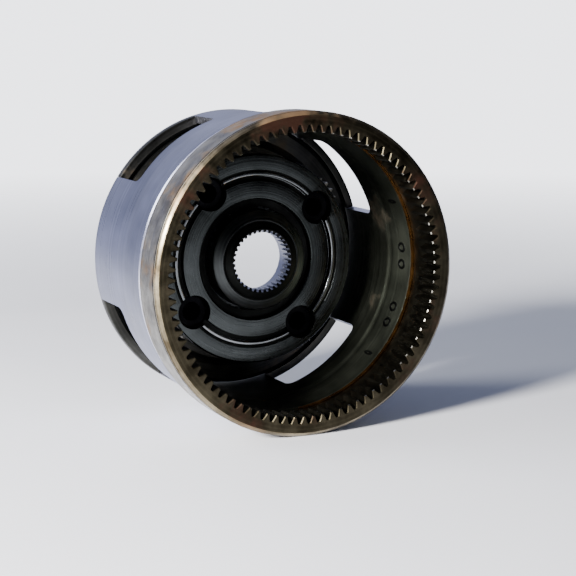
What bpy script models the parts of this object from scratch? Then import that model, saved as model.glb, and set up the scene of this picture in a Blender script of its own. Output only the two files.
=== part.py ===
"""Planetary gear set of an automatic transmission.

A drum carries an internal ring gear at its open end. A planet carrier (front plate with four
legs, and a rear plate whose lugs fill the drum's four slots) sits further in, with four planet
gears on hollow pins around a splined sun gear.

The common axis is Y. The open end faces -Y and the origin is at the middle of the assembly.
Stations along the axis are given from the open end and shifted by the helper `along`.
"""

import math

import bmesh
import bpy
from mathutils import Vector

MM = 0.001

# Overall
LENGTH = 92.4 * MM
GAP = 0.3 * MM
SEGMENTS = 64
SMOOTH_ANGLE = math.radians(32)

# Ring gear: internal teeth
RING_TEETH = 88
RING_MODULE = 1.5 * MM
RING_OUTER_R = 74.0 * MM
RING_CHAMFER = 2.0 * MM
RING_BAND_END = 19.6 * MM
RING_TOOTH_END = 14.5 * MM
RING_BORE_R = 68.1 * MM
RING_SPIGOT_R = 70.6 * MM
RING_END = 25.0 * MM
SNAP_RING_INNER_R = 67.0 * MM
SNAP_RING_OUTER_R = 70.5 * MM
SNAP_RING_FRONT = RING_END + GAP
SNAP_RING_BACK = SNAP_RING_FRONT + 1.4 * MM
SNAP_RING_SPAN = math.radians(348)

# Drum
DRUM_OUTER_R = 70.4 * MM
DRUM_WAIST_R = 71.6 * MM
DRUM_SHOULDER_R = 73.2 * MM
DRUM_FRONT_R = 71.9 * MM
DRUM_FRONT = RING_BAND_END + 0.8 * MM
DRUM_SHOULDER = DRUM_FRONT + 3.2 * MM
DRUM_WAIST = 42.0 * MM
DRUM_STRAIGHT = 58.0 * MM
DRUM_BORE_R = 67.2 * MM
DRUM_REAR_BORE_R = 66.7 * MM
DRUM_STEP = 49.0 * MM
DRUM_EDGE = 0.8 * MM
SLOT_FRONT = 62.0 * MM
SLOT_SPAN = math.radians(40)
SLOT_CORNER_R = 4.0 * MM

# Planet layout
PLANETS = 4
FIRST_PLANET_ANGLE = math.radians(36)
GEAR_MODULE = 1.25 * MM
SUN_TEETH = 42
PLANET_TEETH = 22
PIN_CIRCLE_R = GEAR_MODULE * (SUN_TEETH + PLANET_TEETH) / 2
PRESSURE_ANGLE = math.radians(20)
BACKLASH = 0.30 * MM

# Axial stack, from the front plate to the rear plate
FRONT_PLATE_FACE = 58.5 * MM
FRONT_PLATE_BACK = 65.5 * MM
WASHER_THICKNESS = 0.9 * MM
PLANET_FRONT = FRONT_PLATE_BACK + WASHER_THICKNESS + 2 * GAP
PLANET_WIDTH = 12.0 * MM
PLANET_BACK = PLANET_FRONT + PLANET_WIDTH
WEB_FACE = PLANET_BACK + WASHER_THICKNESS + 2 * GAP
WEB_BACK = WEB_FACE + 5.0 * MM
FLANGE_FACE = 87.4 * MM

# Front carrier plate: rings turned into its face
FRONT_PLATE_R = 50.6 * MM
FRONT_PLATE_BORE_R = 29.1 * MM
FRONT_PLATE_LIP_R = 25.2 * MM
FRONT_PLATE_LIP = 62.0 * MM
FACE_CHAMFER = 0.6 * MM
BOSS_RING_R = 37.8 * MM
BOSS_GROOVE_DEPTH = 3.0 * MM
RIDGE_INNER_R = 40.3 * MM
RIDGE_OUTER_R = 42.2 * MM
RIDGE_LINE_R = 43.2 * MM
RIDGE_LINE_DEPTH = 0.7 * MM
LEG_INNER_R = 37.0 * MM
LEG_OUTER_R = 50.0 * MM
LEG_SPAN = math.radians(34)

# Rear carrier plate
WEB_BORE_R = 28.0 * MM
WEB_OUTER_R = 53.0 * MM
FLANGE_INNER_R = 57.0 * MM
REAR_PLATE_R = DRUM_REAR_BORE_R - GAP
RIM_GROOVE_INNER_R = 64.3 * MM
RIM_GROOVE_DEPTH = 2.2 * MM
RIM_CHAMFER = 0.7 * MM

# Pins, needle bearings and thrust washers
PIN_R = 7.5 * MM
PIN_HOLE_R = PIN_R + GAP
PIN_BORE_R = 4.6 * MM
PIN_BORE_DEPTH = 14.0 * MM
PIN_RECESS = 4.0 * MM
NEEDLES = 16
NEEDLE_R = 0.8 * MM
NEEDLE_CIRCLE_R = PIN_R + GAP + NEEDLE_R
CAGE_HALF_THICKNESS = 0.3 * MM
PLANET_BORE_R = NEEDLE_CIRCLE_R + NEEDLE_R + GAP
PLANET_CHAMFER = 0.5 * MM
WASHER_OUTER_R = 12.0 * MM

# Sun gear
SUN_FRONT = 51.3 * MM
SUN_NOSE_R = 15.5 * MM
SUN_RING_R = 19.3 * MM
SUN_RING_FRONT = 53.3 * MM
SUN_HUB_R = 24.2 * MM
SUN_HUB_FRONT = 55.3 * MM
SUN_TEETH_FRONT = PLANET_FRONT - 0.4 * MM
SUN_BACK = PLANET_BACK
SUN_OVERLAP = 0.5 * MM
SPLINE_TEETH = 36
SPLINE_MINOR_R = 13.8 * MM
SPLINE_MAJOR_R = 15.0 * MM
SPLINE_FRONT = 52.0 * MM
SPLINE_BACK = 58.6 * MM
SUN_BORE_R = 15.2 * MM
SUN_BORE_BACK = 65.3 * MM
SUN_REAR_BORE_R = 21.6 * MM

# Base colour, roughness and metallic value of each material
FINISHES = {
    "ground_steel": ((0.55, 0.56, 0.63), 0.30, 1.0),
    "oiled_steel": ((0.20, 0.19, 0.16), 0.42, 1.0),
    "turned_steel": ((0.25, 0.27, 0.29), 0.30, 1.0),
    "dark_plate": ((0.14, 0.14, 0.13), 0.40, 1.0),
    "gear_steel": ((0.32, 0.31, 0.29), 0.35, 1.0),
    "pin_steel": ((0.10, 0.10, 0.11), 0.35, 1.0),
    "bearing_steel": ((0.45, 0.45, 0.46), 0.25, 1.0),
    "washer_bronze": ((0.42, 0.30, 0.16), 0.40, 1.0),
    "spring_steel": ((0.30, 0.16, 0.07), 0.32, 1.0),
}


def along(station):
    """Y of a station measured from the open end."""
    return station - LENGTH / 2


def polar(radius, angle, y):
    """A point at a radius and at an angle from +X towards +Z."""
    return Vector((radius * math.cos(angle), y, radius * math.sin(angle)))


def planet_angles():
    """Angle of each planet around the axis."""
    return [FIRST_PLANET_ANGLE + i * 2 * math.pi / PLANETS for i in range(PLANETS)]


def clear_scene():
    for obj in list(bpy.data.objects):
        bpy.data.objects.remove(obj, do_unlink=True)


def material(name):
    """The Principled material of one finish, made once."""
    found = bpy.data.materials.get(name)
    if found:
        return found
    made = bpy.data.materials.new(name)
    made.use_nodes = True
    colour, roughness, metallic = FINISHES[name]
    shader = made.node_tree.nodes["Principled BSDF"]
    shader.inputs["Base Color"].default_value = (*colour, 1.0)
    shader.inputs["Roughness"].default_value = roughness
    shader.inputs["Metallic"].default_value = metallic
    return made


def make_object(name, bm, finish):
    """Turn a bmesh into a smooth-shaded object with one material."""
    bmesh.ops.recalc_face_normals(bm, faces=bm.faces)
    mesh = bpy.data.meshes.new(name)
    bm.to_mesh(mesh)
    bm.free()
    mesh.materials.append(material(finish))
    mesh.shade_smooth()
    mesh.set_sharp_from_angle(angle=SMOOTH_ANGLE)
    obj = bpy.data.objects.new(name, mesh)
    bpy.context.collection.objects.link(obj)
    return obj


def ring_of(bm, radius, y, count):
    """A circle of vertices around the axis."""
    return [bm.verts.new(polar(radius, 2 * math.pi * i / count, y)) for i in range(count)]


def bridge(bm, loop_a, loop_b):
    """Quads between two closed loops with equal counts."""
    count = len(loop_a)
    for i in range(count):
        j = (i + 1) % count
        bm.faces.new((loop_a[i], loop_a[j], loop_b[j], loop_b[i]))


def turned(name, outline, finish, count=SEGMENTS):
    """A solid ring turned from a closed outline of (radius, station) corners."""
    bm = bmesh.new()
    loops = [ring_of(bm, radius, along(station), count) for radius, station in outline]
    for loop_a, loop_b in zip(loops, loops[1:] + loops[:1]):
        bridge(bm, loop_a, loop_b)
    return make_object(name, bm, finish)


def swept(name, section, span, steps, finish):
    """A bar swept about the axis, centred on +X, from a closed section of (radius, station)."""
    bm = bmesh.new()
    slices = []
    for i in range(steps + 1):
        angle = -span / 2 + span * i / steps
        slices.append([bm.verts.new(polar(r, angle, along(s))) for r, s in section])
    for slice_a, slice_b in zip(slices, slices[1:]):
        bridge(bm, slice_a, slice_b)
    bm.faces.new(slices[0])
    bm.faces.new(slices[-1])
    return make_object(name, bm, finish)


def rectangle(inner_r, outer_r, front, back):
    """Corners of a rectangular section."""
    return [(inner_r, front), (outer_r, front), (outer_r, back), (inner_r, back)]


def turn_about_axis(obj, angle):
    """Place a piece modelled at +X at an angle from +X towards +Z."""
    obj.rotation_euler = (0, -angle, 0)


def as_cutter(obj):
    obj.hide_render = True
    obj.display_type = 'WIRE'
    return obj


def combine(target, tool, operation):
    """Cut a tool out of the target, or join it on."""
    modifier = target.modifiers.new(tool.name, 'BOOLEAN')
    modifier.object = as_cutter(tool)
    modifier.operation = operation
    modifier.solver = 'EXACT'


# ---------------------------------------------------------------- gears

def involute_angle(radius, base_r):
    """Polar angle of an involute at a radius, from the point where it leaves its base circle."""
    if radius <= base_r:
        return 0.0
    roll = math.sqrt((radius / base_r) ** 2 - 1)
    return roll - math.atan(roll)


def flank(teeth, module, radii, thickness):
    """Half-angle of a tooth at each radius, for a tooth thickness at the pitch circle."""
    pitch_r = module * teeth / 2
    base_r = pitch_r * math.cos(PRESSURE_ANGLE)
    at_pitch = thickness / (2 * pitch_r)
    reference = involute_angle(pitch_r, base_r)
    return [at_pitch + reference - involute_angle(r, base_r) for r in radii]


def external_outline(teeth, module, first_angle):
    """Polar corners of one turn of external teeth, one list for each tooth sector."""
    pitch_r = module * teeth / 2
    radii = (pitch_r - 1.25 * module, pitch_r - 0.1 * module, pitch_r + module)
    halves = flank(teeth, module, radii, math.pi * module / 2 - BACKLASH)
    sectors = []
    for i in range(teeth):
        middle = first_angle + 2 * math.pi * i / teeth
        rising = [(r, middle - h) for r, h in zip(radii, halves)]
        falling = [(r, middle + h) for r, h in reversed(list(zip(radii, halves)))]
        sectors.append(rising + falling)
    return sectors


def internal_outline(teeth, module):
    """Polar corners of internal teeth: the space has the shape of a mating external tooth."""
    pitch_r = module * teeth / 2
    radii = (pitch_r - module, pitch_r, pitch_r + 1.25 * module)
    halves = flank(teeth, module, radii, math.pi * module / 2)
    sectors = []
    for i in range(teeth):
        middle = 2 * math.pi * i / teeth
        rising = [(r, middle - h) for r, h in zip(radii, halves)]
        falling = [(r, middle + h) for r, h in reversed(list(zip(radii, halves)))]
        sectors.append(rising + falling)
    return sectors


def toothed_ring(name, sectors, front, back, profile, finish):
    """A gear ring: teeth on one side, a turned profile of (radius, station) on the other.

    The profile runs from the teeth's front end to their back end. Each sector of the end faces is
    one polygon from the tooth's corners to the profile's two corners.
    """
    bm = bmesh.new()
    teeth = len(sectors)
    ends = []
    for station in (front, back):
        ends.append([[bm.verts.new(polar(r, a, along(station))) for r, a in s] for s in sectors])
    flat_front = [v for sector in ends[0] for v in sector]
    flat_back = [v for sector in ends[1] for v in sector]
    bridge(bm, flat_front, flat_back)
    first = sectors[0][0][1]
    loops = []
    for radius, station in profile:
        corners = [polar(radius, first + 2 * math.pi * i / teeth, along(station)) for i in range(teeth)]
        loops.append([bm.verts.new(corner) for corner in corners])
    for loop_a, loop_b in zip(loops, loops[1:]):
        bridge(bm, loop_a, loop_b)
    for rows, loop in ((ends[0], loops[0]), (ends[1], loops[-1])):
        for i in range(teeth):
            j = (i + 1) % teeth
            bm.faces.new(rows[i] + [rows[j][0], loop[j], loop[i]])
    return make_object(name, bm, finish)


# ---------------------------------------------------------------- drum and ring gear

def ring_gear():
    profile = [
        (RING_OUTER_R - RING_CHAMFER, 0.0),
        (RING_OUTER_R, RING_CHAMFER),
        (RING_OUTER_R, RING_BAND_END),
        (RING_SPIGOT_R, RING_BAND_END),
        (RING_SPIGOT_R, RING_END),
        (RING_BORE_R, RING_END),
        (RING_BORE_R, RING_TOOTH_END),
    ]
    sectors = internal_outline(RING_TEETH, RING_MODULE)
    toothed_ring("ring_gear", sectors, 0.0, RING_TOOTH_END, profile, "oiled_steel")


def retaining_ring():
    """The open spring ring that holds the ring gear in the drum."""
    section = rectangle(SNAP_RING_INNER_R, SNAP_RING_OUTER_R, SNAP_RING_FRONT, SNAP_RING_BACK)
    ring = swept("retaining_ring", section, SNAP_RING_SPAN, 72, "spring_steel")
    turn_about_axis(ring, math.pi / 2)


def slot_cutter(index, angle):
    """A slot with rounded front corners that runs out through the drum's rear end."""
    half = DRUM_OUTER_R * SLOT_SPAN / 2
    corner_steps = 4
    outline = [(-half, LENGTH + 2 * MM), (half, LENGTH + 2 * MM)]
    for side, start in ((1, 0.0), (-1, math.pi / 2)):
        for i in range(corner_steps + 1):
            turn = start + i * math.pi / 2 / corner_steps
            across = side * (half - SLOT_CORNER_R) + SLOT_CORNER_R * math.cos(turn)
            outline.append((across, SLOT_FRONT + SLOT_CORNER_R - SLOT_CORNER_R * math.sin(turn)))
    bm = bmesh.new()
    loops = []
    for radius in (DRUM_REAR_BORE_R - 4 * MM, DRUM_OUTER_R + 12 * MM):
        loops.append([bm.verts.new(polar(radius, a / DRUM_OUTER_R, along(s))) for a, s in outline])
    bridge(bm, *loops)
    for loop in loops:
        bm.faces.new(loop)
    cutter = make_object(f"cutter_slot_{index}", bm, "dark_plate")
    turn_about_axis(cutter, angle)
    return cutter


def drum_shell():
    counterbore_r = RING_SPIGOT_R + GAP
    counterbore_end = SNAP_RING_BACK + GAP
    outline = [
        (counterbore_r, DRUM_FRONT),
        (DRUM_FRONT_R, DRUM_FRONT),
        (DRUM_SHOULDER_R, DRUM_SHOULDER),
        (DRUM_WAIST_R, DRUM_WAIST),
        (DRUM_OUTER_R, DRUM_STRAIGHT),
        (DRUM_OUTER_R, LENGTH - DRUM_EDGE),
        (DRUM_OUTER_R - DRUM_EDGE, LENGTH),
        (DRUM_REAR_BORE_R, LENGTH),
        (DRUM_REAR_BORE_R, DRUM_STEP),
        (DRUM_BORE_R, DRUM_STEP - 1.5 * MM),
        (DRUM_BORE_R, counterbore_end),
        (counterbore_r, counterbore_end),
    ]
    drum = turned("drum_shell", outline, "ground_steel")
    for index, angle in enumerate(planet_angles(), start=1):
        combine(drum, slot_cutter(index, angle), 'DIFFERENCE')


# ---------------------------------------------------------------- planet carrier

def pin_hole_cutter(name, angle, front, back):
    """A drilled pin hole, with a lead-in chamfer at its front."""
    chamfer = 0.6 * MM
    margin = 1.0 * MM
    steps = 24
    outline = [
        (PIN_HOLE_R + chamfer + margin, front - margin),
        (PIN_HOLE_R, front + chamfer),
        (PIN_HOLE_R, back + margin),
    ]
    bm = bmesh.new()
    loops = [ring_of(bm, r, along(s), steps) for r, s in outline]
    for loop_a, loop_b in zip(loops, loops[1:]):
        bridge(bm, loop_a, loop_b)
    bm.faces.new(loops[0])
    bm.faces.new(loops[-1])
    cutter = make_object(name, bm, "dark_plate")
    cutter.location = polar(PIN_CIRCLE_R, angle, 0.0)
    return cutter


def front_carrier_plate():
    face = FRONT_PLATE_FACE
    groove = face + BOSS_GROOVE_DEPTH
    line = face + RIDGE_LINE_DEPTH
    outline = [
        (FRONT_PLATE_BORE_R, face + FACE_CHAMFER),
        (FRONT_PLATE_BORE_R + FACE_CHAMFER, face),
        (BOSS_RING_R, face),
        (BOSS_RING_R, groove),
        (RIDGE_INNER_R, groove),
        (RIDGE_INNER_R, face + RIDGE_LINE_DEPTH / 2),
        (RIDGE_INNER_R + RIDGE_LINE_DEPTH / 2, face),
        (RIDGE_OUTER_R - RIDGE_LINE_DEPTH / 2, face),
        (RIDGE_OUTER_R, line),
        (RIDGE_LINE_R, line),
        (RIDGE_LINE_R, face),
        (FRONT_PLATE_R - FACE_CHAMFER, face),
        (FRONT_PLATE_R, face + FACE_CHAMFER),
        (FRONT_PLATE_R, FRONT_PLATE_BACK),
        (FRONT_PLATE_LIP_R, FRONT_PLATE_BACK),
        (FRONT_PLATE_LIP_R, FRONT_PLATE_LIP),
        (FRONT_PLATE_BORE_R, FRONT_PLATE_LIP),
    ]
    plate = turned("front_carrier_plate", outline, "turned_steel")
    overlap = 1.0 * MM
    for index, angle in enumerate(planet_angles(), start=1):
        section = rectangle(LEG_INNER_R, LEG_OUTER_R, FRONT_PLATE_BACK - overlap, WEB_FACE - GAP)
        leg = swept(f"leg_{index}", section, LEG_SPAN, 6, "turned_steel")
        turn_about_axis(leg, angle + math.pi / PLANETS)
        combine(plate, leg, 'UNION')
    for index, angle in enumerate(planet_angles(), start=1):
        hole = pin_hole_cutter(f"cutter_front_hole_{index}", angle, face, FRONT_PLATE_BACK)
        combine(plate, hole, 'DIFFERENCE')


def rear_carrier_plate():
    groove = FLANGE_FACE + RIM_GROOVE_DEPTH
    outline = [
        (WEB_BORE_R, WEB_FACE + FACE_CHAMFER),
        (WEB_BORE_R + FACE_CHAMFER, WEB_FACE),
        (WEB_OUTER_R, WEB_FACE),
        (FLANGE_INNER_R, FLANGE_FACE),
        (RIM_GROOVE_INNER_R, FLANGE_FACE),
        (RIM_GROOVE_INNER_R, groove),
        (REAR_PLATE_R, groove),
        (REAR_PLATE_R, LENGTH),
        (FLANGE_INNER_R - 2.0 * MM, LENGTH),
        (WEB_OUTER_R - 2.5 * MM, WEB_BACK),
        (WEB_BORE_R, WEB_BACK),
    ]
    plate = turned("rear_carrier_plate", outline, "dark_plate")
    lug_span = SLOT_SPAN - 2 * GAP / DRUM_REAR_BORE_R
    for index, angle in enumerate(planet_angles(), start=1):
        lug = rim_lug(f"lug_{index}", lug_span)
        turn_about_axis(lug, angle)
        combine(plate, lug, 'UNION')
        hole = pin_hole_cutter(f"cutter_rear_hole_{index}", angle, WEB_FACE, WEB_BACK)
        combine(plate, hole, 'DIFFERENCE')


def rim_lug(name, span):
    """A lug that fills the end of a drum slot, with chamfered outer edges."""
    overlap = 1.0 * MM
    root = FLANGE_FACE + RIM_GROOVE_DEPTH + 0.4 * MM
    inset = 0.05 * MM
    section = [
        (REAR_PLATE_R - overlap, root),
        (REAR_PLATE_R, root),
        (REAR_PLATE_R, FLANGE_FACE),
        (DRUM_OUTER_R - RIM_CHAMFER, FLANGE_FACE),
        (DRUM_OUTER_R, FLANGE_FACE + RIM_CHAMFER),
        (DRUM_OUTER_R, LENGTH - DRUM_EDGE),
        (DRUM_OUTER_R - DRUM_EDGE, LENGTH - inset),
        (REAR_PLATE_R - overlap, LENGTH - inset),
    ]
    return swept(name, section, span, 8, "dark_plate")


# ---------------------------------------------------------------- planets on their pins

def planet_station(name, angle):
    """An empty on one planet's axis, which its rotating pieces hang from."""
    empty = bpy.data.objects.new(name, None)
    bpy.context.collection.objects.link(empty)
    empty.location = polar(PIN_CIRCLE_R, angle, 0.0)
    return empty


def mesh_phase(angle):
    """Angle of a planet's first tooth that puts it in mesh with the sun.

    The sun has a tooth at angle 0. On the line of centres the planet must have a space where the
    sun has a tooth, so the planet's phase follows from where that line falls on the sun's pitch.
    """
    sun_pitch = 2 * math.pi / SUN_TEETH
    planet_pitch = 2 * math.pi / PLANET_TEETH
    sun_offset = (angle / sun_pitch) % 1.0
    return angle + math.pi + (0.5 + sun_offset) * planet_pitch


def planet_gear(index, angle, station):
    profile = [
        (PLANET_BORE_R + PLANET_CHAMFER, PLANET_FRONT),
        (PLANET_BORE_R, PLANET_FRONT + PLANET_CHAMFER),
        (PLANET_BORE_R, PLANET_BACK - PLANET_CHAMFER),
        (PLANET_BORE_R + PLANET_CHAMFER, PLANET_BACK),
    ]
    sectors = external_outline(PLANET_TEETH, GEAR_MODULE, mesh_phase(angle))
    name = f"planet_gear_{index}"
    gear = toothed_ring(name, sectors, PLANET_FRONT, PLANET_BACK, profile, "gear_steel")
    gear.parent = station


def needle_bearing(index, station):
    """Needles and their cage as one ring: bumps inside and outside a thin sleeve."""
    front = PLANET_FRONT + 2 * PLANET_CHAMFER
    back = PLANET_BACK - 2 * PLANET_CHAMFER
    pitch = 2 * math.pi / NEEDLES
    bump = NEEDLE_R / NEEDLE_CIRCLE_R
    offsets = ((-0.95 * bump, CAGE_HALF_THICKNESS), (-0.4 * bump, NEEDLE_R),
               (0.4 * bump, NEEDLE_R), (0.95 * bump, CAGE_HALF_THICKNESS))
    bm = bmesh.new()
    loops = []
    for side in (1, -1):
        for station_y in (front, back):
            loop = []
            for i in range(NEEDLES):
                for turn, height in offsets:
                    radius = NEEDLE_CIRCLE_R + side * height
                    loop.append(bm.verts.new(polar(radius, i * pitch + turn, along(station_y))))
            loops.append(loop)
    outer_front, outer_back, inner_front, inner_back = loops
    bridge(bm, outer_front, outer_back)
    bridge(bm, inner_front, inner_back)
    bridge(bm, outer_front, inner_front)
    bridge(bm, outer_back, inner_back)
    bearing = make_object(f"needle_bearing_{index}", bm, "bearing_steel")
    bearing.parent = station


def planet_pin(index, station):
    """A pin pressed into both plates, with an oil bore open at the front."""
    front = FRONT_PLATE_FACE + PIN_RECESS
    back = WEB_BACK - 0.5 * MM
    edge = 0.4 * MM
    outline = [
        (PIN_BORE_R, front),
        (PIN_R - edge, front),
        (PIN_R, front + edge),
        (PIN_R, back - edge),
        (PIN_R - edge, back),
    ]
    bm = bmesh.new()
    loops = [ring_of(bm, r, along(s), 24) for r, s in outline]
    bottom = ring_of(bm, PIN_BORE_R, along(front + PIN_BORE_DEPTH), 24)
    for loop_a, loop_b in zip([bottom] + loops, loops):
        bridge(bm, loop_a, loop_b)
    bm.faces.new(bottom)
    bm.faces.new(loops[-1])
    pin = make_object(f"planet_pin_{index}", bm, "pin_steel")
    pin.parent = station


def thrust_washer(name, front, station):
    outline = rectangle(PIN_R + GAP, WASHER_OUTER_R, front, front + WASHER_THICKNESS)
    washer = turned(name, outline, "washer_bronze", count=20)
    washer.parent = station


def planet_set(index, angle):
    station = planet_station(f"planet_axis_{index}", angle)
    planet_gear(index, angle, station)
    needle_bearing(index, station)
    planet_pin(index, station)
    thrust_washer(f"front_thrust_washer_{index}", FRONT_PLATE_BACK + GAP, station)
    thrust_washer(f"rear_thrust_washer_{index}", PLANET_BACK + GAP, station)


# ---------------------------------------------------------------- sun gear

def spline_cutter():
    """The spaces of the bore's splines, as one star-shaped bar."""
    inside = SPLINE_MINOR_R - 0.2 * MM
    pitch = 2 * math.pi / SPLINE_TEETH
    corners = ((inside, -0.30), (SPLINE_MAJOR_R, -0.17), (SPLINE_MAJOR_R, 0.17), (inside, 0.30))
    outline = [(r, (i + part) * pitch) for i in range(SPLINE_TEETH) for r, part in corners]
    bm = bmesh.new()
    stations = (SUN_FRONT - 1.0 * MM, SPLINE_BACK + 1.0 * MM)
    loops = [[bm.verts.new(polar(r, a, along(s))) for r, a in outline] for s in stations]
    bridge(bm, *loops)
    for loop in loops:
        bm.faces.new(loop)
    return make_object("cutter_spline", bm, "dark_plate")


def sun_gear():
    """Teeth at the back, a hub with a coned front ahead of them, and a splined bore."""
    overlap_end = SUN_TEETH_FRONT + SUN_OVERLAP
    hub = [
        (SPLINE_MINOR_R, SPLINE_FRONT),
        (SUN_NOSE_R, SUN_FRONT),
        (SUN_RING_R, SUN_RING_FRONT),
        (SUN_HUB_R - FACE_CHAMFER, SUN_HUB_FRONT),
        (SUN_HUB_R, SUN_HUB_FRONT + FACE_CHAMFER),
        (SUN_HUB_R, overlap_end),
        (SUN_REAR_BORE_R + GAP, overlap_end),
        (SUN_REAR_BORE_R + GAP, SUN_TEETH_FRONT - GAP),
        (SUN_BORE_R, SUN_BORE_BACK),
        (SUN_BORE_R, SPLINE_BACK),
        (SPLINE_MINOR_R, SPLINE_BACK),
    ]
    front_hub = turned("sun_front_hub", hub, "gear_steel", count=SUN_TEETH)
    bore = [
        (SUN_REAR_BORE_R, SUN_TEETH_FRONT),
        (SUN_REAR_BORE_R, SUN_BACK - FACE_CHAMFER),
        (SUN_REAR_BORE_R + FACE_CHAMFER, SUN_BACK),
    ]
    sectors = external_outline(SUN_TEETH, GEAR_MODULE, 0.0)
    gear = toothed_ring("sun_gear", sectors, SUN_TEETH_FRONT, SUN_BACK, bore, "gear_steel")
    combine(gear, front_hub, 'UNION')
    combine(gear, spline_cutter(), 'DIFFERENCE')


def build():
    clear_scene()
    ring_gear()
    retaining_ring()
    drum_shell()
    front_carrier_plate()
    rear_carrier_plate()
    sun_gear()
    for index, angle in enumerate(planet_angles(), start=1):
        planet_set(index, angle)


build()
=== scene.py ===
"""Looks of the planetary gear set: detailed meshes, procedural metals, floor, light and camera.

The common axis is Y and the open toothed end faces -Y. Stations along the axis are given from the
open end and shifted by `along`. All lengths are in metres, and a pair of them in the constants is a
radius and a station, except where a comment says otherwise.
"""

import math

import bmesh
import bpy
from mathutils import Matrix, Vector

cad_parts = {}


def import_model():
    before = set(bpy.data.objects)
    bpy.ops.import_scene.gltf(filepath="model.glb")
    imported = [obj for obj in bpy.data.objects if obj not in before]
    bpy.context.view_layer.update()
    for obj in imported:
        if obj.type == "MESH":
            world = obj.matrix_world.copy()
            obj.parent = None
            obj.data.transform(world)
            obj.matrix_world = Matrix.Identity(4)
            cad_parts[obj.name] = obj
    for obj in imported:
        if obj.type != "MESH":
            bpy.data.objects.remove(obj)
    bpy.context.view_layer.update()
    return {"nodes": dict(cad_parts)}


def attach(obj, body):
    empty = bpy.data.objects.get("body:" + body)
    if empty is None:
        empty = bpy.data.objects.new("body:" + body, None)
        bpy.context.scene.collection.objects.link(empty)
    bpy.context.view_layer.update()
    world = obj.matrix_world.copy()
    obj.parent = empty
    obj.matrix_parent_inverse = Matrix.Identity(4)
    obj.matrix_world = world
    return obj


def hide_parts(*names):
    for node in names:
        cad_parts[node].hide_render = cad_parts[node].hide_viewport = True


MM = 0.001
HOUSING = "drum_and_carrier"

# Whole set
LENGTH = 92.4 * MM
TURNED_STEPS = 176
SMOOTH_ANGLE = math.radians(30)
CUT_MARGIN = 1.0 * MM

# Gear teeth: the root's depth is in modules, and a land is an edge in a tooth's run of corners
PRESSURE_ANGLE = math.radians(20)
ROOT_DEPTH = 1.25
FLANK_STEPS = 4
CORNERS_PER_TOOTH = 2 * (FLANK_STEPS + 1)
GAP_LAND = CORNERS_PER_TOOTH - 1
TIP_LAND = FLANK_STEPS
TOOTH_EDGE = 0.4 * MM

# Ring gear and its outer profile, from the open end
RING_TEETH = 88
RING_MODULE = 1.5 * MM
RING_FACE_R = 71.9 * MM
RING_CHAMFER_START = (72.15 * MM, 0.12 * MM)
RING_CHAMFER_END = (73.9 * MM, 1.85 * MM)
RING_OUTER_R = 74.0 * MM
RING_LINE_R = 73.7 * MM
RING_LINE_START = 2.2 * MM
RING_LINE_END = 3.1 * MM
RING_LINE_SIDE = 0.2 * MM
RING_BAND_STEP = 11.0 * MM
RING_BAND_R = 73.92 * MM
RING_BAND_END = 19.6 * MM
RING_BAND_END_R = 73.5 * MM
RING_SPIGOT_R = 70.6 * MM
RING_END = 25.0 * MM
RING_BORE_R = 68.1 * MM
RING_TOOTH_END = 14.5 * MM

# Drum
DRUM_FRONT = 20.4 * MM
DRUM_FRONT_R = 71.9 * MM
DRUM_FRONT_CHAMFER = 3.2 * MM
DRUM_WAIST = ((73.2 * MM, DRUM_FRONT + DRUM_FRONT_CHAMFER), (72.3 * MM, 32.0 * MM),
              (71.6 * MM, 42.0 * MM), (70.8 * MM, 51.0 * MM))
DRUM_OUTER_R = 70.4 * MM
DRUM_STRAIGHT_START = 60.0 * MM
DRUM_REAR_CHAMFER = 0.8 * MM
DRUM_REAR_BORE_R = 66.7 * MM
DRUM_BORE_R = 67.2 * MM
DRUM_STEP = 49.0 * MM
DRUM_STEP_LENGTH = 1.5 * MM
DRUM_EDGE_R = 0.35 * MM
COUNTERBORE_R = 70.9 * MM
COUNTERBORE_END = 27.0 * MM
SLOT_FRONT = 62.0 * MM
SLOT_HALF = math.radians(20)
SLOT_CORNER_R = 4.0 * MM
SLOT_CORNER_STEPS = 8
SLOT_TOOL_BELOW = 4.0 * MM
SLOT_TOOL_ABOVE = 12.0 * MM

# Stamped marks on the drum's bore: half width, half length and hollow part of each kind, then the
# place of each in degrees. A mark's base reaches into the wall and its top stands proud of it.
RING_MARK = (2.6 * MM, 3.6 * MM, 0.45)
OVAL_MARK = (1.2 * MM, 4.2 * MM, 0.2)
MARKS = ((24, OVAL_MARK), (4, RING_MARK), (-3, RING_MARK), (-21, RING_MARK), (-28, RING_MARK),
         (-43, OVAL_MARK))
MARK_STATION = 36.0 * MM
MARK_STEPS = 20
MARK_PROUD = 0.06 * MM
MARK_BASE = 0.12 * MM
MARK_TOP = 0.10 * MM

# Planets and their places
FIRST_PLANET_ANGLE = math.radians(36)
PLANETS = 4
PIN_CIRCLE_R = 40.0 * MM
PIN_HOLE_R = 7.8 * MM
PIN_HOLE_CHAMFER = 0.4 * MM
PIN_HOLE_STEPS = 48
GEAR_MODULE = 1.25 * MM
BACKLASH = 0.30 * MM
GEAR_TRIM = 0.2 * MM
SUN_TEETH = 42
PLANET_TEETH = 22
PLANET_BORE_R = 9.7 * MM
PLANET_BORE_CHAMFER = 0.5 * MM
PLANET_FRONT = 67.0 * MM
PLANET_BACK = 79.0 * MM

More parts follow.
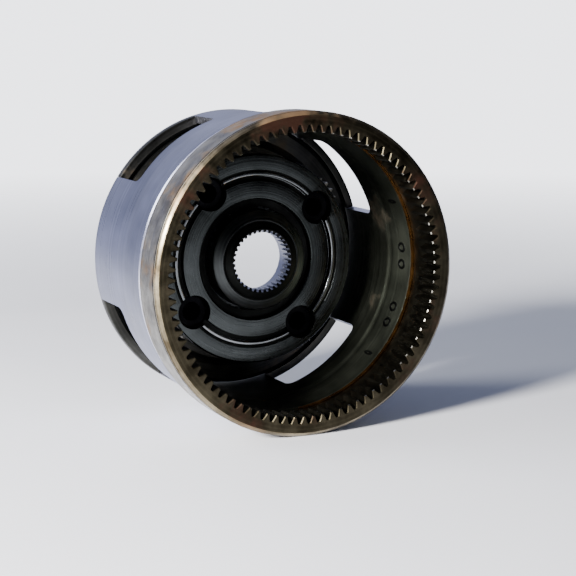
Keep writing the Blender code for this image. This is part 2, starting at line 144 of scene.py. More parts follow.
# Front carrier plate: bore, trench, ridge with a shallow groove outside it, rim, and four legs
PLATE_FACE = 58.5 * MM
PLATE_BACK = 65.5 * MM
PLATE_BORE_R = 29.1 * MM
PLATE_CHAMFER = 0.6 * MM
PLATE_EDGE_R = 0.22 * MM
TRENCH_INNER_R = 37.8 * MM
TRENCH_DEPTH = 3.0 * MM
RIDGE_INNER_R = 40.3 * MM
RIDGE_CHAMFER = 0.35 * MM
RIDGE_OUTER_R = 42.2 * MM
RIDGE_GROOVE_DEPTH = 0.7 * MM
RIDGE_GROOVE_OUTER_R = 43.2 * MM
PLATE_OUTER_R = 50.6 * MM
PLATE_REAR_BORE_R = 25.2 * MM
PLATE_REAR_STEP = 62.0 * MM
LEG_INNER_R = 37.0 * MM
LEG_OUTER_R = 50.0 * MM
LEG_SPAN = math.radians(34)
LEG_STEPS = 12
LEG_GAP = 0.3 * MM

# Rear carrier plate: a web, a cone out to the flange, a groove behind its rim, and four lugs
WEB_FACE = 80.5 * MM
WEB_BACK = 85.5 * MM
WEB_BORE_R = 28.0 * MM
WEB_FRONT_R = 53.0 * MM
WEB_CONE = (55.0 * MM, WEB_FACE + 3.2 * MM)
DISH_R = 50.5 * MM
DISH_RIM_R = 55.0 * MM
FLANGE_FACE = 87.4 * MM
FLANGE_INNER_R = 57.0 * MM
REAR_PLATE_R = 66.4 * MM
REAR_PLATE_EDGE_R = 0.3 * MM
RIM_GROOVE_INNER_R = 64.3 * MM
RIM_GROOVE_DEPTH = 2.2 * MM
LUG_CLEARANCE_ANGLE = 0.009
LUG_STEPS = 20
LUG_SHOULDER_R = 69.5 * MM
LUG_CORNER_R = 70.15 * MM
LUG_CORNER_RISE = 0.25 * MM
LUG_CORNER_DEPTH = 0.9 * MM
LUG_REAR_CORNER_RISE = 0.3 * MM
LUG_REAR_CORNER_DEPTH = 0.95 * MM
LUG_INSET = 0.05 * MM
LUG_ROOT_STEP = 0.4 * MM

# Sun gear
SUN_FRONT = 51.3 * MM
SUN_NOSE_R = 15.5 * MM
SUN_CONE = (18.8 * MM, 53.0 * MM)
SUN_NOTCH = ((18.9 * MM, 53.7 * MM), (19.4 * MM, 53.7 * MM), (19.5 * MM, 53.4 * MM))
SUN_SHOULDER = (23.6 * MM, 55.3 * MM)
SUN_HUB_R = 24.2 * MM
SUN_HUB_FRONT = 55.9 * MM
SUN_HUB_STEPS = 168
SUN_HUB_EDGE_R = 0.2 * MM
SUN_OVERLAP = 0.5 * MM
SUN_TEETH_FRONT = 66.6 * MM
SPLINE_TEETH = 36
SPLINE_MINOR_R = 13.8 * MM
SPLINE_MAJOR_R = 15.0 * MM
SPLINE_FRONT = 52.0 * MM
SPLINE_BACK = 58.6 * MM
SPLINE_FILLET = 0.12 * MM
SPLINE_MARGIN = 0.2 * MM
SUN_BORE_R = 15.2 * MM
SUN_BORE_BACK = 65.3 * MM
SUN_REAR_BORE_R = 21.6 * MM
SUN_REAR_CHAMFER = 0.6 * MM
SUN_REAR_STEP = 0.3 * MM

# Camera: where the assembly's centre stands to the right of, above and beyond the camera
CAMERA_AZIMUTH = math.radians(-25.2)
CAMERA_ELEVATION = math.radians(9.3)
CENTRE_RIGHT = -9.9 * MM
CENTRE_UP = 12.0 * MM
CENTRE_AWAY = 772.0 * MM
CAMERA_LENS = 101.75
SENSOR_WIDTH = 36.0

# Stage
FLOOR_Z = -74.0 * MM
FLOOR_HALF = 3.0
FLOOR_FADE_START = 0.35
FLOOR_FADE_END = 1.3
KEY_PLACE = (-1.05, -0.52, 0.42)
KEY_SIZE = 0.30
KEY_POWER = 72.0
KEY_COLOUR = (1.0, 0.98, 0.95)
FILL_PLACE = (-1.1, 0.45, 0.85)
FILL_SIZE = 0.8
FILL_POWER = 14.0
FILL_COLOUR = (0.94, 0.96, 1.0)
SKY_TOWARDS = (-0.70, 0.70, 0.15)
SKY_FADE = (-0.2, 0.5)
SKY_DARK = (0.03, 0.032, 0.04, 1.0)
SKY_LIGHT = (0.66, 0.70, 0.92, 1.0)
BACKDROP = (3.2, 3.25, 3.45, 1.0)
SHADE = (0.13, 0.15, 0.22, 1.0)

# Metals
GRAIN_SCALE = 1800.0
GRAIN_BUMP = 0.05
BUMP_DISTANCE = 0.2 * MM
STAIN_SCALE = 28.0
STAIN_SPECK_SCALE = 160.0
STAIN_EDGE = 0.06
STAIN_METALLIC = 0.8
STAIN_ROUGHER = 0.22


def along(station):
    """Y of a station measured from the open end."""
    return station - LENGTH / 2


def polar(radius, angle, y):
    """A point at a radius and at an angle from +X towards +Z."""
    return Vector((radius * math.cos(angle), y, radius * math.sin(angle)))


def planet_angles():
    """Angles of the planets, their pin holes and the drum's slots."""
    return [FIRST_PLANET_ANGLE + i * 2 * math.pi / PLANETS for i in range(PLANETS)]


# ---------------------------------------------------------------- materials

class Tree:
    """A material's or world's nodes, with short ways to add and link them."""

    def __init__(self, owner):
        owner.use_nodes = True
        self.nodes = owner.node_tree.nodes
        self.links = owner.node_tree.links

    def add(self, kind, inputs=None, **settings):
        made = self.nodes.new(kind)
        for key, value in settings.items():
            setattr(made, key, value)
        for key, value in (inputs or {}).items():
            self.feed(made.inputs[key], value)
        return made

    def feed(self, socket, value):
        """Link an output into the socket, or set its value."""
        if isinstance(value, bpy.types.NodeSocket):
            self.links.new(value, socket)
        else:
            socket.default_value = value

    def position(self):
        return self.add("ShaderNodeTexCoord").outputs["Object"]

    def axial(self):
        """Distance along the common axis."""
        return self.add("ShaderNodeSeparateXYZ", {0: self.position()}).outputs["Y"]

    def radial(self):
        """Distance from the common axis."""
        flat = self.add("ShaderNodeVectorMath", {0: self.position(), 1: (1, 0, 1)}, operation='MULTIPLY')
        length = self.add("ShaderNodeVectorMath", {0: flat.outputs["Vector"]}, operation='LENGTH')
        return length.outputs["Value"]

    def lines(self, distance, scale, detail=3.0):
        """Noise that varies only along one distance: machining lines."""
        noise = self.add("ShaderNodeTexNoise", {"W": distance, "Scale": scale, "Detail": detail},
                         noise_dimensions='1D')
        return noise.outputs[0]

    def blotches(self, scale, detail=4.0, stretch=(1, 1, 1)):
        """Soft 3-D noise."""
        mapping = self.add("ShaderNodeMapping", {"Vector": self.position(), "Scale": stretch})
        noise = self.add("ShaderNodeTexNoise",
                         {"Vector": mapping.outputs[0], "Scale": scale, "Detail": detail,
                          "Roughness": 0.6})
        return noise.outputs[0]

    def remap(self, value, low, high, to_low=0.0, to_high=1.0):
        ranged = self.add("ShaderNodeMapRange",
                          {"Value": value, "From Min": low, "From Max": high,
                           "To Min": to_low, "To Max": to_high})
        return ranged.outputs["Result"]

    def mix(self, factor, a, b):
        mixed = self.add("ShaderNodeMix", {0: factor}, data_type='RGBA')
        self.feed(mixed.inputs[6], a)
        self.feed(mixed.inputs[7], b)
        return mixed.outputs[2]

    def maths(self, operation, a, b):
        return self.add("ShaderNodeMath", {0: a, 1: b}, operation=operation).outputs[0]


def rgb(red, green, blue):
    """An opaque colour."""
    return (red, green, blue, 1.0)


def stain_cover(tree, amount):
    """0 on clean metal and 1 on its stains, which spread as `amount` goes from 0 to 1."""
    edge = 0.72 - 0.32 * amount
    specks = tree.remap(tree.blotches(STAIN_SPECK_SCALE, 6.0), 0.2, 0.8, -0.08, 0.08)
    spots = tree.maths('ADD', tree.blotches(STAIN_SCALE, 8.0), specks)
    return tree.remap(spots, edge - STAIN_EDGE, edge + STAIN_EDGE)


def metal(name, dark, light, roughness, direction=None, line_scale=900.0, line_bump=0.15,
          blotch_scale=45.0, stain=None, stain_amount=0.0):
    """A machined metal: two tones in soft blotches, machining lines, and stains.

    `roughness` is its lowest and highest value before the lines and stains. `direction` is 'axial'
    for lines round a cylinder, 'radial' for rings on a face and None for a fine grain instead.
    `stain` is a colour, and it spreads further as `stain_amount` goes from 0 to 1.
    """
    material = bpy.data.materials.new(name)
    tree = Tree(material)
    shader = tree.nodes["Principled BSDF"]
    tone = tree.remap(tree.blotches(blotch_scale), 0.35, 0.68)
    rough = tree.remap(tree.blotches(blotch_scale * 2.3), 0.3, 0.7, *roughness)
    if direction:
        distance = tree.axial() if direction == 'axial' else tree.radial()
        height = tree.lines(distance, line_scale)
        tone = tree.remap(tree.maths('ADD', tone, height), 0.5, 1.5)
        rough = tree.maths('ADD', rough, tree.remap(height, 0.3, 0.7, -0.04, 0.04))
        bump_strength = line_bump
    else:
        height = tree.blotches(GRAIN_SCALE, 2.0)
        bump_strength = GRAIN_BUMP
    colour = tree.mix(tone, dark, light)
    if stain:
        cover = stain_cover(tree, stain_amount)
        colour = tree.mix(cover, colour, stain)
        rough = tree.maths('ADD', rough, tree.remap(cover, 0.0, 1.0, 0.0, STAIN_ROUGHER))
        tree.feed(shader.inputs["Metallic"], tree.remap(cover, 0.0, 1.0, 1.0, STAIN_METALLIC))
    else:
        shader.inputs["Metallic"].default_value = 1.0
    bump = tree.add("ShaderNodeBump",
                    {"Strength": bump_strength, "Distance": BUMP_DISTANCE, "Height": height})
    tree.feed(shader.inputs["Base Color"], colour)
    tree.feed(shader.inputs["Roughness"], rough)
    tree.feed(shader.inputs["Normal"], bump.outputs[0])
    return material


def make_materials():
    """Every metal of the set, by a short key."""
    rust = rgb(0.032, 0.012, 0.006)
    oil = rgb(0.10, 0.075, 0.05)
    return {
        "drum": metal("ground_drum_steel", rgb(0.105, 0.115, 0.18), rgb(0.275, 0.29, 0.41),
                      (0.26, 0.38), 'axial', line_scale=600.0, line_bump=0.25, blotch_scale=14.0),
        # drum_bore: the drum's bore, far darker than its outside; the oil stains are real and the rest
        # of the darkness is painted shade.
        "drum_bore": metal("oiled_bore_steel_painted_shade", rgb(0.022, 0.025, 0.019), rgb(0.095, 0.103, 0.08),
                           (0.40, 0.52), 'axial', line_scale=500.0, line_bump=0.45,
                           blotch_scale=20.0, stain=oil, stain_amount=0.15),
        # drum_edge: the drum's chamfers, rear face and slot walls in a light steel; the lightness is a
        # painted highlight.
        "drum_edge": metal("drum_edge_painted_highlight", rgb(0.45, 0.46, 0.55), rgb(0.72, 0.72, 0.80),
                           (0.25, 0.35), 'axial', line_bump=0.08),
        "band": metal("ring_band_steel", rgb(0.07, 0.062, 0.05), rgb(0.29, 0.275, 0.24),
                      (0.28, 0.44), 'axial', line_scale=420.0, line_bump=0.2, blotch_scale=90.0,
                      stain=rgb(0.15, 0.09, 0.045), stain_amount=0.45),
        "chamfer": metal("ring_chamfer_steel", rgb(0.075, 0.058, 0.034), rgb(0.28, 0.235, 0.155),
                         (0.26, 0.38), 'radial', line_bump=0.08, blotch_scale=70.0,
                         stain=rgb(0.24, 0.15, 0.08), stain_amount=0.35),
        "ring_face": metal("ring_face_steel", rgb(0.018, 0.015, 0.009), rgb(0.055, 0.047, 0.03),
                           (0.36, 0.52), 'radial', line_scale=700.0, line_bump=0.12,
                           blotch_scale=90.0, stain=rust, stain_amount=0.40),
        "flank": metal("ring_flank_steel", rgb(0.015, 0.014, 0.01), rgb(0.06, 0.055, 0.04),
                       (0.30, 0.45), blotch_scale=120.0, stain=oil, stain_amount=0.2),
        # tip: tooth tips lighter than the flanks, partly from wear and partly as a painted glint.
        "tip": metal("worn_tip_steel_painted_glint", rgb(0.20, 0.19, 0.16), rgb(0.52, 0.50, 0.44),
                     (0.20, 0.30), 'axial', line_scale=600.0, line_bump=0.05),
        "plate": metal("turned_plate_steel", rgb(0.022, 0.025, 0.024), rgb(0.068, 0.075, 0.075),
                       (0.22, 0.34), 'radial', line_scale=1100.0, line_bump=0.16, blotch_scale=25.0),
        # ridge: the front plate's ridge in a lighter steel than the plate; the lightness is a painted
        # highlight.
        "ridge": metal("ridge_steel_painted_highlight", rgb(0.12, 0.13, 0.13), rgb(0.26, 0.27, 0.28),
                       (0.14, 0.24), 'radial', line_scale=1500.0, line_bump=0.05),
        # groove: a near-black that is painted shade in the grooves, the pin holes, the fine line behind
        # the ring's chamfer, the joint between ring and drum, the mouth of the sun's bore and the lip
        # behind the front plate; on the stamped marks it is their own dark colour.
        "groove": metal("painted_shade_and_mark_black", rgb(0.004, 0.004, 0.004), rgb(0.014, 0.015, 0.014),
                        (0.4, 0.55), 'radial', line_bump=0.08),
        "hub": metal("hub_steel", rgb(0.022, 0.025, 0.025), rgb(0.07, 0.075, 0.075),
                     (0.28, 0.40), 'radial', line_scale=1300.0, line_bump=0.14, blotch_scale=30.0),
        "spline": metal("spline_steel", rgb(0.08, 0.085, 0.11), rgb(0.26, 0.27, 0.33),
                        (0.22, 0.34), 'axial', line_bump=0.08),
        "rear_plate": metal("rear_plate_steel", rgb(0.028, 0.028, 0.025), rgb(0.08, 0.078, 0.07),
                            (0.28, 0.42), 'radial', line_scale=800.0, line_bump=0.12,
                            blotch_scale=30.0, stain=oil, stain_amount=0.2),
        "gear": metal("planet_gear_steel", rgb(0.16, 0.155, 0.14), rgb(0.42, 0.41, 0.38),
                      (0.24, 0.38), blotch_scale=150.0),
        # pin: near-black pins; a dark pin steel, darkened further as painted shade inside their holes.
        "pin": metal("dark_pin_steel_painted_shade", rgb(0.004, 0.004, 0.005), rgb(0.015, 0.015, 0.017),
                     (0.5, 0.65), 'radial', line_bump=0.08),
        "bearing": metal("needle_steel", rgb(0.30, 0.30, 0.31), rgb(0.60, 0.60, 0.62),
                         (0.15, 0.25), 'axial', line_bump=0.05),
        "bronze": metal("washer_bronze_oiled", rgb(0.26, 0.15, 0.06), rgb(0.48, 0.31, 0.14),
                        (0.28, 0.42), 'radial', line_scale=1200.0, line_bump=0.1, blotch_scale=80.0,
                        stain=oil, stain_amount=0.25),
        "snap_ring": metal("blued_spring_steel", rgb(0.10, 0.045, 0.012), rgb(0.30, 0.14, 0.04),
                           (0.22, 0.34), 'radial', line_scale=1200.0, line_bump=0.08,
                           blotch_scale=60.0),
    }


# ---------------------------------------------------------------- mesh helpers

def make_piece(name, bm, materials, body, slot_name, *replaced):
    """Turn a bmesh into a piece that rides on a body and stands for CAD nodes.

    Without a body it stays a loose helper.
    """
    bmesh.ops.recalc_face_normals(bm, faces=bm.faces)
    mesh = bpy.data.meshes.new(name)
    bm.to_mesh(mesh)
    bm.free()
    piece = bpy.data.objects.new(name, mesh)
    bpy.context.collection.objects.link(piece)
    for material in materials:
        mesh.materials.append(material)
    mesh.shade_smooth()
    mesh.set_sharp_from_angle(angle=SMOOTH_ANGLE)
    if body:
        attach(piece, body)
    if replaced:
        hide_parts(*replaced)
    return piece


def bridge(bm, loop_a, loop_b, zone=0):
    """Quads between two closed loops with equal counts."""
    count = len(loop_a)
    for i in range(count):
        j = (i + 1) % count
        face = bm.faces.new((loop_a[i], loop_a[j], loop_b[j], loop_b[i]))
        face.material_index = zone


def rounded(outline, radius):
    """Round each corner of a closed outline of (radius, station, zone), zone being the next edge's."""
    result = []
    count = len(outline)
    for i, (r, s, zone) in enumerate(outline):
        corner = Vector((r, s))
        before = Vector(outline[i - 1][:2])
        after = Vector(outline[(i + 1) % count][:2])
        cut_before = min(radius, 0.4 * (before - corner).length)
        cut_after = min(radius, 0.4 * (after - corner).length)
        a = corner + (before - corner).normalized() * cut_before
        b = corner + (after - corner).normalized() * cut_after
        for t in (0.0, 0.33, 0.67, 1.0):
            point = a * (1 - t) ** 2 + corner * (2 * t * (1 - t)) + b * t ** 2
            result.append((point.x, point.y, zone))
    return result


def turned_mesh(outline, count=TURNED_STEPS):
    """A ring turned from a closed outline of (radius, station, zone)."""
    bm = bmesh.new()
    loops = []
    for radius, station, _ in outline:
        corners = [polar(radius, 2 * math.pi * i / count, along(station)) for i in range(count)]
        loops.append([bm.verts.new(corner) for corner in corners])
    for i, (_, _, zone) in enumerate(outline):
        bridge(bm, loops[i], loops[(i + 1) % len(loops)], zone)
    return bm


def swept_mesh(section, middle, span, steps):
    """A bar swept about the axis from a closed section of (radius, station)."""
    bm = bmesh.new()
    slices = []
    for i in range(steps + 1):
        angle = middle - span / 2 + span * i / steps
        slices.append([bm.verts.new(polar(r, angle, along(s))) for r, s in section])
    for slice_a, slice_b in zip(slices, slices[1:]):
        bridge(bm, slice_a, slice_b)
    for end in (slices[0], slices[-1]):
        bm.faces.new(end)
    return bm


def prism_mesh(loops, zone):
    """A closed solid between two loops of points."""
    bm = bmesh.new()
    rings = [[bm.verts.new(point) for point in loop] for loop in loops]
    bridge(bm, *rings, zone)
    for ring in rings:
        bm.faces.new(ring).material_index = zone
    return bm


def loose(name, bm, materials=()):
    """A helper solid for a Boolean, which `combine` removes."""
    return make_piece(name, bm, materials, None, None)


def combine(piece, tools, operation):
    """Apply one Boolean for each tool to a piece, and remove the tools."""
    for tool in tools:
        modifier = piece.modifiers.new(tool.name, 'BOOLEAN')
        modifier.object = tool
        modifier.operation = operation
        modifier.solver = 'EXACT'
        modifier.material_mode = 'INDEX'
    graph = bpy.context.evaluated_depsgraph_get()
    mesh = bpy.data.meshes.new_from_object(piece.evaluated_get(graph))
    piece.modifiers.clear()
    piece.data = mesh
    mesh.shade_smooth()
    mesh.set_sharp_from_angle(angle=SMOOTH_ANGLE)
    for tool in tools:
        bpy.data.objects.remove(tool, do_unlink=True)


# ---------------------------------------------------------------- gear teeth

def involute_angle(radius, base_r):
    """Polar angle of an involute at a radius, from the point where it leaves its base circle."""
    if radius <= base_r:
        return 0.0
    roll = math.sqrt((radius / base_r) ** 2 - 1)
    return roll - math.atan(roll)


def half_angles(teeth, module, radii, thickness):
    """Half-angle of a tooth at each radius, for a thickness at the pitch circle."""
    pitch_r = module * teeth / 2
    base_r = pitch_r * math.cos(PRESSURE_ANGLE)
    at_pitch = thickness / (2 * pitch_r) + involute_angle(pitch_r, base_r)
    return [at_pitch - involute_angle(r, base_r) for r in radii]


def one_turn(teeth, first_angle, radii, halves):
    """(radius, angle) corners of each tooth: up one flank from the root and down the other."""
    flank = list(zip(radii, halves))
    corners = []
    for i in range(teeth):
        middle = first_angle + 2 * math.pi * i / teeth
        corners += [(r, middle - h) for r, h in flank]
        corners += [(r, middle + h) for r, h in reversed(flank)]
    return corners


def tooth_outline(teeth, first_angle, trim=0.0):
    """One turn of a planet's or the sun's teeth; `trim` shrinks every tooth."""
    pitch_r = GEAR_MODULE * teeth / 2
    low, high = -ROOT_DEPTH * GEAR_MODULE, GEAR_MODULE
    thickness = math.pi * GEAR_MODULE / 2 - BACKLASH
    radii = [pitch_r + low + (high - low - trim) * i / FLANK_STEPS for i in range(FLANK_STEPS + 1)]
    halves = half_angles(teeth, GEAR_MODULE, radii, thickness - 2 * trim)
    return one_turn(teeth, first_angle, radii, halves)


def space_outline(grow=0.0):
    """One turn of the ring's tooth spaces; `grow` widens them and takes the same off the tooth tips."""
    pitch_r = RING_MODULE * RING_TEETH / 2
    low, high = -RING_MODULE, ROOT_DEPTH * RING_MODULE
    radii = [pitch_r + low + grow + (high - low - grow) * i / FLANK_STEPS
             for i in range(FLANK_STEPS + 1)]
    halves = half_angles(RING_TEETH, RING_MODULE, radii, math.pi * RING_MODULE / 2 + 2 * grow)
    return one_turn(RING_TEETH, 0.0, radii, halves)


def eased_rows(front, back, full, eased):
    """Rows of corners for teeth that are eased at both ends."""
    return [(front, eased), (front + TOOTH_EDGE, full), (back - TOOTH_EDGE, full), (back, eased)]


def external_rows(teeth, first_angle, front):
    """Rows for a planet's or the sun's teeth, whose rear ends are in line."""
    full = tooth_outline(teeth, first_angle)
    eased = tooth_outline(teeth, first_angle, GEAR_TRIM)
    return eased_rows(front, PLANET_BACK, full, eased)


def toothed_mesh(rows, profile, teeth, land_index, flank_zone, land_zone, edge_zone, corner_zone):
    """A gear ring: rows of tooth corners from front to back, and a turned profile on its other side.

    `rows` holds (station, corners). `profile` holds (radius, station, zone) from front to back.
    `land_index` is the edge in each tooth's corners that is its tip. The eased ends of the flanks and
    both end faces take `edge_zone`, and the eased ends of the tips take `corner_zone`.
    """
    bm = bmesh.new()
    loops = [[bm.verts.new(polar(r, a, along(s))) for r, a in corners] for s, corners in rows]
    last = len(loops) - 2
    for row, (loop_a, loop_b) in enumerate(zip(loops, loops[1:])):
        tip, side = (corner_zone, edge_zone) if row in (0, last) else (land_zone, flank_zone)
        for i in range(len(loop_a)):
            j = (i + 1) % len(loop_a)
            face = bm.faces.new((loop_a[i], loop_a[j], loop_b[j], loop_b[i]))
            face.material_index = tip if i % CORNERS_PER_TOOTH == land_index else side
    first = rows[0][1][0][1]
    sides = []
    for radius, station, _ in profile:
        corners = [polar(radius, first + 2 * math.pi * i / teeth, along(station)) for i in range(teeth)]
        sides.append([bm.verts.new(corner) for corner in corners])
    for (_, _, zone), side_a, side_b in zip(profile, sides, sides[1:]):
        bridge(bm, side_a, side_b, zone)
    for loop, side in ((loops[0], sides[0]), (loops[-1], sides[-1])):
        for i in range(teeth):
            j = (i + 1) % teeth
            tooth = loop[i * CORNERS_PER_TOOTH:(i + 1) * CORNERS_PER_TOOTH]
            face = bm.faces.new(tooth + [loop[j * CORNERS_PER_TOOTH], side[j], side[i]])
            face.material_index = edge_zone
    return bm


# ---------------------------------------------------------------- pieces

def ring_gear(looks):
    """Internal teeth with chamfered ends; a front chamfer, a fine line behind it and a spigot."""
    # `tip`, on the eased ends of the tooth tips, is lighter partly from wear and partly as a painted
    # glint. `plain` is the painted-shade black in the fine line behind the front chamfer, on the band's
    # rear face and on the spigot.
    flank, tip, face, chamfer, band, plain = range(6)
    rows = eased_rows(0.0, RING_TOOTH_END, space_outline(), space_outline(TOOTH_EDGE))
    profile = [
        (RING_FACE_R, 0.0, face),
        (*RING_CHAMFER_START, chamfer),
        (*RING_CHAMFER_END, band),
        (RING_OUTER_R, RING_LINE_START, plain),
        (RING_LINE_R, RING_LINE_START + RING_LINE_SIDE, plain),
        (RING_LINE_R, RING_LINE_END - RING_LINE_SIDE, plain),
        (RING_OUTER_R, RING_LINE_END, band),
        (RING_OUTER_R, RING_BAND_STEP, band),
        (RING_BAND_R, RING_BAND_STEP + 0.2 * MM, band),
        (RING_BAND_R, RING_BAND_END - 0.5 * MM, band),
        (RING_BAND_END_R, RING_BAND_END, plain),
        (RING_SPIGOT_R, RING_BAND_END, plain),
        (RING_SPIGOT_R, RING_END, plain),
        (RING_BORE_R, RING_END, flank),
        (RING_BORE_R, RING_TOOTH_END, flank),
    ]
    bm = toothed_mesh(rows, profile, RING_TEETH, GAP_LAND, flank, flank, face, tip)
    materials = [looks[key] for key in ("flank", "tip", "ring_face", "chamfer", "band", "groove")]
    make_piece("ring_gear_detail", bm, materials, HOUSING, "oiled_steel", "ring_gear")


def slot_tool(index, angle, zone):
    """The cutter of one slot, open at the rear and with rounded front corners."""
    half = DRUM_OUTER_R * SLOT_HALF
    outline = [(-half, LENGTH + 2 * CUT_MARGIN), (half, LENGTH + 2 * CUT_MARGIN)]
    for side, start in ((1, 0.0), (-1, math.pi / 2)):
        for i in range(SLOT_CORNER_STEPS + 1):
            turn = start + i * math.pi / 2 / SLOT_CORNER_STEPS
            across = side * (half - SLOT_CORNER_R) + SLOT_CORNER_R * math.cos(turn)
            outline.append((across, SLOT_FRONT + SLOT_CORNER_R - SLOT_CORNER_R * math.sin(turn)))
    radii = (DRUM_REAR_BORE_R - SLOT_TOOL_BELOW, DRUM_OUTER_R + SLOT_TOOL_ABOVE)
    loops = [[polar(r, angle + a / DRUM_OUTER_R, along(s)) for a, s in outline] for r in radii]
    return loose(f"slot_tool_{index}", prism_mesh(loops, zone))


def drum_shell(looks):
    """A waisted drum with a stepped bore, a counterbore for the ring gear and four slots."""
    # `edge`, on the front step, the rear chamfer, the rear face and the slot walls, is a light steel
    # that is a painted highlight. `dark`, on the front face and the counterbore in the joint with the
    # ring gear, is the painted-shade black. `bore` is darkened as painted shade besides its oil stains.
    outer, bore, edge, dark = range(4)
    outline = [
        (COUNTERBORE_R, DRUM_FRONT, dark),
        (DRUM_FRONT_R, DRUM_FRONT, edge),
        *((radius, station, outer) for radius, station in DRUM_WAIST),
        (DRUM_OUTER_R, DRUM_STRAIGHT_START, outer),
        (DRUM_OUTER_R, LENGTH - DRUM_REAR_CHAMFER, edge),
        (DRUM_OUTER_R - DRUM_REAR_CHAMFER, LENGTH, edge),
        (DRUM_REAR_BORE_R, LENGTH, bore),
        (DRUM_REAR_BORE_R, DRUM_STEP, bore),
        (DRUM_BORE_R, DRUM_STEP - DRUM_STEP_LENGTH, bore),
        (DRUM_BORE_R, COUNTERBORE_END, bore),
        (COUNTERBORE_R, COUNTERBORE_END, dark),
    ]
    materials = [looks[key] for key in ("drum", "drum_bore", "drum_edge", "groove")]
    bm = turned_mesh(rounded(outline, DRUM_EDGE_R))
    drum = make_piece("drum_shell_detail", bm, materials, HOUSING, "ground_steel", "drum_shell")
    tools = [slot_tool(index, angle, edge) for index, angle in enumerate(planet_angles(), start=1)]
    combine(drum, tools, 'DIFFERENCE')


def hole_tool(name, angle, front, back, zone):
    """The cutter of one pin hole, flared at its mouth."""
    centre = polar(PIN_CIRCLE_R, angle, 0.0)
    profile = [
        (PIN_HOLE_R + PIN_HOLE_CHAMFER + CUT_MARGIN, front - CUT_MARGIN),
        (PIN_HOLE_R + PIN_HOLE_CHAMFER, front),
        (PIN_HOLE_R, front + PIN_HOLE_CHAMFER),
        (PIN_HOLE_R, back + CUT_MARGIN),
    ]
    bm = bmesh.new()
    loops = []
    for radius, station in profile:
        turns = [2 * math.pi * i / PIN_HOLE_STEPS for i in range(PIN_HOLE_STEPS)]
        loops.append([bm.verts.new(centre + polar(radius, turn, along(station))) for turn in turns])
    for loop_a, loop_b in zip(loops, loops[1:]):
        bridge(bm, loop_a, loop_b, zone)
    for end in (loops[0], loops[-1]):
        bm.faces.new(end).material_index = zone
    return loose(name, bm)


def drill_pin_holes(plate, front, back, zone):
    """Cut the four pin holes through a carrier plate."""
    holes = [hole_tool(f"hole_tool_{index}", angle, front, back, zone)
             for index, angle in enumerate(planet_angles(), start=1)]
    combine(plate, holes, 'DIFFERENCE')


def front_carrier_plate(looks):
    """A turned disc with a trench and a ridge, its pin holes, and four legs behind it."""
    # `ridge` is a light steel that is a painted highlight. `groove` is the painted-shade black on the
    # trench, the shallow groove, the bore, the lip behind it and the pin holes.
    face, ridge, groove = range(3)
    front = PLATE_FACE
    outline = [
        (PLATE_BORE_R, front + PLATE_CHAMFER, face),
        (PLATE_BORE_R + PLATE_CHAMFER, front, face),
        (TRENCH_INNER_R, front, groove),
        (TRENCH_INNER_R, front + TRENCH_DEPTH, groove),
        (RIDGE_INNER_R, front + TRENCH_DEPTH, ridge),
        (RIDGE_INNER_R, front + RIDGE_CHAMFER, ridge),
        (RIDGE_INNER_R + RIDGE_CHAMFER, front, ridge),
        (RIDGE_OUTER_R - RIDGE_CHAMFER, front, ridge),
        (RIDGE_OUTER_R, front + RIDGE_GROOVE_DEPTH, groove),
        (RIDGE_GROOVE_OUTER_R, front + RIDGE_GROOVE_DEPTH, groove),
        (RIDGE_GROOVE_OUTER_R, front, face),
        (PLATE_OUTER_R - PLATE_CHAMFER, front, face),
        (PLATE_OUTER_R, front + PLATE_CHAMFER, face),
        (PLATE_OUTER_R, PLATE_BACK, face),
        (PLATE_REAR_BORE_R, PLATE_BACK, groove),
        (PLATE_REAR_BORE_R, PLATE_REAR_STEP, groove),
        (PLATE_BORE_R, PLATE_REAR_STEP, groove),
    ]
    materials = [looks[key] for key in ("plate", "ridge", "groove")]
    bm = turned_mesh(rounded(outline, PLATE_EDGE_R))
    plate = make_piece("front_carrier_plate_detail", bm, materials, HOUSING, "turned_steel",
                       "front_carrier_plate")
    section = [
        (LEG_INNER_R, PLATE_BACK - CUT_MARGIN),
        (LEG_OUTER_R, PLATE_BACK - CUT_MARGIN),
        (LEG_OUTER_R, WEB_FACE - LEG_GAP),
        (LEG_INNER_R, WEB_FACE - LEG_GAP),
    ]
    legs = []
    for index, angle in enumerate(planet_angles(), start=1):
        bm = swept_mesh(section, angle + math.pi / PLANETS, LEG_SPAN, LEG_STEPS)
        legs.append(loose(f"leg_tool_{index}", bm))
    combine(plate, legs, 'UNION')
    drill_pin_holes(plate, front, PLATE_BACK, groove)


